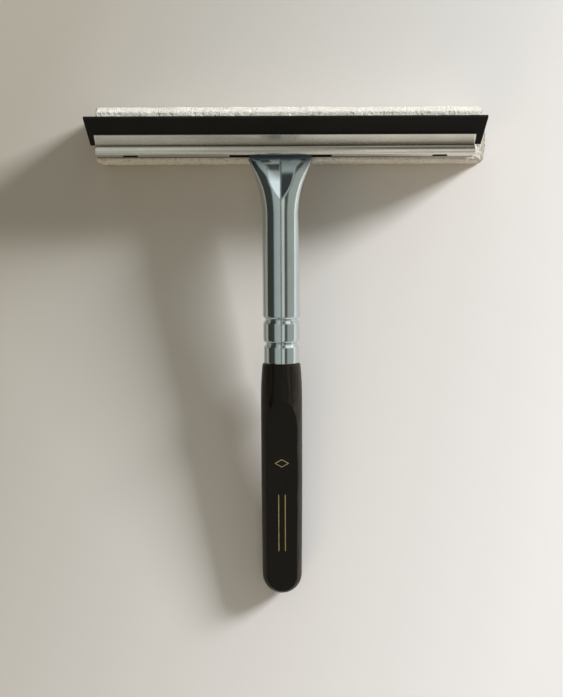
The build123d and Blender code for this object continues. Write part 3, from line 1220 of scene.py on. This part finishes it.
@dataclass
class Studio:
    """A pale table, a window lamp on the upper right and a room of light and dark bands.

    The spans are parts of a view direction: across the picture or up it.

    Attributes:
        table_size: Side of the table in metres.
        table: Finish of the table.
        window: The lamp on the upper right.
        bounce: The faint warm light that comes back from the room below the picture.
        window_glow: Brightness of the window in reflections.
        glow_across: Span across in which the window begins and is whole.
        glow_up: Span up in which the window begins and is whole.
        far_left: Brightness of the room beyond the blade, left of the tool.
        far_right: Brightness of the room beyond the blade, right of the tool.
        far_turn: Span across in which the far room turns from left to right.
        far_width: Span to either side in which the far room begins and is whole.
        far_up: Span up in which the far room begins and is whole.
        bands: Bands of the room from the left over the top to the right.
    """

    table_size: float = 6.0
    table: PaleTable = PaleTable("table", (0.468, 0.435, 0.373), rough=0.7)
    window: Lamp = Lamp(
        "window", (2.15, 1.3, 1.0), distance=2.4, width=0.55, height=0.6, power=89.0, colour=(0.97, 0.99, 1.04)
    )
    bounce: Lamp = Lamp(
        "bounce", (-0.6, -1.0, 0.5), distance=2.4, width=1.2, height=0.8, power=8.5, colour=(1.25, 0.85, 0.45)
    )
    window_glow: Colour = (0.95, 1.0, 1.0)
    glow_across: Span = (0.25, 0.5)
    glow_up: Span = (0.3, 0.6)
    far_left: Colour = (0.62, 0.6, 0.54)
    far_right: Colour = (0.12, 0.118, 0.11)
    far_turn: Span = (-0.12, 0.12)
    far_width: Span = (0.32, 0.2)
    far_up: Span = (-0.03, 0.12)
    bands: tuple[RoomBand, ...] = (
        RoomBand(-179, (0.1, 0.09, 0.075)),
        RoomBand(-100, (0.045, 0.04, 0.032)),
        RoomBand(-46, (0.05, 0.054, 0.05)),
        RoomBand(-41, (0.36, 0.4, 0.38)),
        RoomBand(-9, (0.46, 0.49, 0.46)),
        RoomBand(-4, (0.26, 0.26, 0.24)),
        RoomBand(2, (0.28, 0.27, 0.25)),
        RoomBand(5, (0.72, 0.69, 0.62)),
        RoomBand(20, (0.66, 0.63, 0.57)),
        RoomBand(23, (0.08, 0.09, 0.085)),
        RoomBand(37, (0.1, 0.105, 0.1)),
        RoomBand(42, (0.38, 0.385, 0.35)),
        RoomBand(100, (0.43, 0.425, 0.38)),
        RoomBand(179, (0.1, 0.09, 0.075)),
    )

    def build(self, effects: Effects) -> None:
        """Makes the table, the lamps and the room.

        Args:
            effects: Shared node groups.
        """
        self._lay_table(effects)
        self.window.build()
        self.bounce.build()
        self._paint_room()
        LOG.info("studio has a table, two lamps and %d bands", len(self.bands))

    def _lay_table(self, effects: Effects) -> None:
        """Lays the table under the tool.

        Args:
            effects: Shared node groups.
        """
        half = self.table_size / 2
        mesh = bpy.data.meshes.new("table")
        corners = [(-half, -half, 0.0), (half, -half, 0.0), (half, half, 0.0), (-half, half, 0.0)]
        mesh.from_pydata(corners, [], [range(len(corners))])
        table = bpy.data.objects.new("table", mesh)
        bpy.context.scene.collection.objects.link(table)
        mesh.materials.append(self.table.build(effects))

    def _paint_room(self) -> None:
        """Paints the room: bands of light and dark over the tool, the far room and the window's glow."""
        world = bpy.data.worlds.new("room")
        bpy.context.scene.world = world
        world.use_nodes = True
        world.node_tree.nodes.clear()
        bench = NodeBench(world.node_tree)
        split = bench.add("ShaderNodeSeparateXYZ")
        bench.feed(split.inputs[0], bench.add("ShaderNodeTexCoord").outputs["Generated"])
        across, up, over = split.outputs
        angle = bench.math("ARCTAN2", across, over)
        ramp = bench.add("ShaderNodeValToRGB")
        bench.feed(ramp.inputs[0], bench.spread(angle, (-math.pi, math.pi)))
        for band in self.bands:
            ramp.color_ramp.elements.new(band.stop()).color = (*band.colour, 1.0)
        far = bench.mix(bench.spread(across, self.far_turn), self.far_left, self.far_right)
        narrow = bench.spread(bench.math("ABSOLUTE", across), self.far_width)
        beyond = bench.math("MULTIPLY", bench.spread(up, self.far_up), narrow)
        room = bench.mix(beyond, ramp.outputs[0], far)
        glow = bench.math("MULTIPLY", bench.spread(up, self.glow_up), bench.spread(across, self.glow_across))
        back = bench.add("ShaderNodeBackground")
        bench.feed(back.inputs["Color"], bench.mix(glow, room, self.window_glow))
        output = bench.add("ShaderNodeOutputWorld")
        bench.feed(output.inputs["Surface"], back.outputs[0])


@dataclass
class Camera:
    """The photograph's camera: straight above the table.

    Attributes:
        place: Place of the lens in metres.
        turn: Turn about the line of sight, in radians.
        lens: Focal length in millimetres.
        film: Long side of the film in millimetres.
        nearest: Distance from which things are seen, in metres.
    """

    place: Triple = (-0.00432, 0.00171, 0.576)
    turn: float = -0.0041
    lens: float = 52.04
    film: float = 36.0
    nearest: float = 0.01

    def build(self) -> None:
        """Makes the camera and looks through it."""
        data = bpy.data.cameras.new("camera")
        data.sensor_width = self.film
        data.sensor_fit = "AUTO"
        data.lens = self.lens
        data.clip_start = self.nearest
        camera = bpy.data.objects.new("camera", data)
        camera.location = self.place
        camera.rotation_euler = (0.0, 0.0, self.turn)
        bpy.context.scene.collection.objects.link(camera)
        bpy.context.scene.camera = camera


def clear_scene() -> None:
    """Removes Blender's own starting objects."""
    for item in list(bpy.data.objects):
        bpy.data.objects.remove(item)


def main() -> None:
    """Builds the camera, the studio, the new pieces and every finish."""
    logging.basicConfig(level=logging.INFO, format="%(name)s: %(message)s")
    clear_scene()
    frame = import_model()
    bpy.context.scene.view_settings.view_transform = "Standard"
    nodes = frame["nodes"]
    axes = ToolAxes.from_record(frame["record"])
    effects = Effects()
    Camera().build()
    Studio().build(effects)
    sponge = SpongePad().build(nodes["sponge_pad"], nodes["blade_seat"], axes)
    LOG.info("sponge has %d faces", len(sponge.data.polygons))
    foil = FoilMarks().build(nodes["grip"], axes)
    LOG.info("foil marks have %d faces", len(foil.data.polygons))
    finishes = Finishes()
    finishes.build(effects, nodes, axes)
    finishes.dress(nodes, sponge, foil)
    LOG.info("sizes written")


if __name__ == "__main__":
    main()
